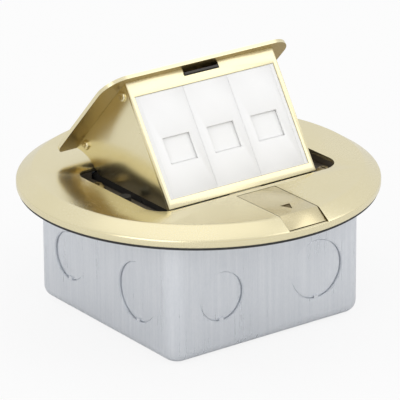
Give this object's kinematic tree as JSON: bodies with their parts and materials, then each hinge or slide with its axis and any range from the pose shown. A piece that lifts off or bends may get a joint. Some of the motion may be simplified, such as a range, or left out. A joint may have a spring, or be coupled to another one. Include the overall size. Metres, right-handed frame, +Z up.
{
  "type": "pop-up floor socket box",
  "caption": "Round brass floor box with a hinged pop-up lid that carries shuttered data modules, over a square steel back box.",
  "frame": {"origin": "middle of the back box's underside", "axes": "+Z up, -Y towards the release button that the sockets face, +X along the hinge"},
  "size_m": [0.153, 0.153, 0.1106],
  "materials": {
    "brass": "satin",
    "galvanised": "spangled zinc",
    "black_steel": "satin",
    "steel": "bright",
    "spring_steel": "plain",
    "black_nylon": "matt",
    "white_plastic": "semi-gloss",
    "clear_cap": "gloss",
    "rubber": "matt",
    "contact_gold": "bright"
  },
  "bodies": {
    "base": {"back_box": "galvanised", "buffer_pads": "rubber", "earth_nut": "steel", "earth_stud": "steel", "earth_washer": "steel", "fixing_lugs": "galvanised", "fixing_screws": "brass", "flange": "brass", "frame_screws": "steel", "gasket": "rubber", "hinge_pins": "steel", "hinge_spring_left": "spring_steel", "hinge_spring_right": "spring_steel", "mounting_frame": "black_nylon", "pin_clips": "spring_steel", "slider_spring": "spring_steel"},
    "carriage": {"arm_bushes": "black_nylon", "arm_left": "black_steel", "arm_right": "black_steel", "faceplate_1": "white_plastic", "faceplate_2": "white_plastic", "faceplate_3": "white_plastic", "jack_1": "white_plastic", "jack_2": "white_plastic", "jack_3": "white_plastic", "jack_contacts_1": "contact_gold", "jack_contacts_2": "contact_gold", "jack_contacts_3": "contact_gold", "latch_keeper": "black_steel", "lid": "brass", "lid_screws": "brass", "module_carrier": "white_plastic", "shroud": "brass", "shutter_spring_1": "spring_steel", "shutter_spring_2": "spring_steel", "shutter_spring_3": "spring_steel", "tie_bar": "steel", "wire_cap_1": "clear_cap", "wire_cap_2": "clear_cap", "wire_cap_3": "clear_cap"},
    "release": {"button_rivets": "steel", "latch_tongue": "spring_steel", "release_button": "brass"},
    "shutter_1": {"shutter_1": "white_plastic"},
    "shutter_2": {"shutter_2": "white_plastic"},
    "shutter_3": {"shutter_3": "white_plastic"}
  },
  "joints": [
    {"name": "carriage_popup", "type": "hinge", "parent": "base", "child": "carriage", "pos_m": [0, 0.0352, 0.047], "axis": [1, 0, 0], "range_deg": [0, 47], "stiffness_Nm_per_rad": 0.15, "springref_deg": -60.16, "deforming": ["hinge_spring_left", "hinge_spring_right", "latch_tongue"]},
    {"name": "button_release", "type": "slide", "parent": "base", "child": "release", "axis": [0, -1, 0], "range_m": [0, 0.0035], "stiffness_N_per_m": 400, "springref_m": -0.003, "deforming": ["slider_spring"]},
    {"name": "shutter_1_slide", "type": "slide", "parent": "carriage", "child": "shutter_1", "axis": [0, 0.5505, 0.8348], "range_m": [0, 0.009], "stiffness_N_per_m": 60, "springref_m": -0.002, "deforming": ["shutter_spring_1"]},
    {"name": "shutter_2_slide", "type": "slide", "parent": "carriage", "child": "shutter_2", "axis": [0, 0.5505, 0.8348], "range_m": [0, 0.009], "stiffness_N_per_m": 60, "springref_m": -0.002, "deforming": ["shutter_spring_2"]},
    {"name": "shutter_3_slide", "type": "slide", "parent": "carriage", "child": "shutter_3", "axis": [0, 0.5505, 0.8348], "range_m": [0, 0.009], "stiffness_N_per_m": 60, "springref_m": -0.002, "deforming": ["shutter_spring_3"]}
  ]
}
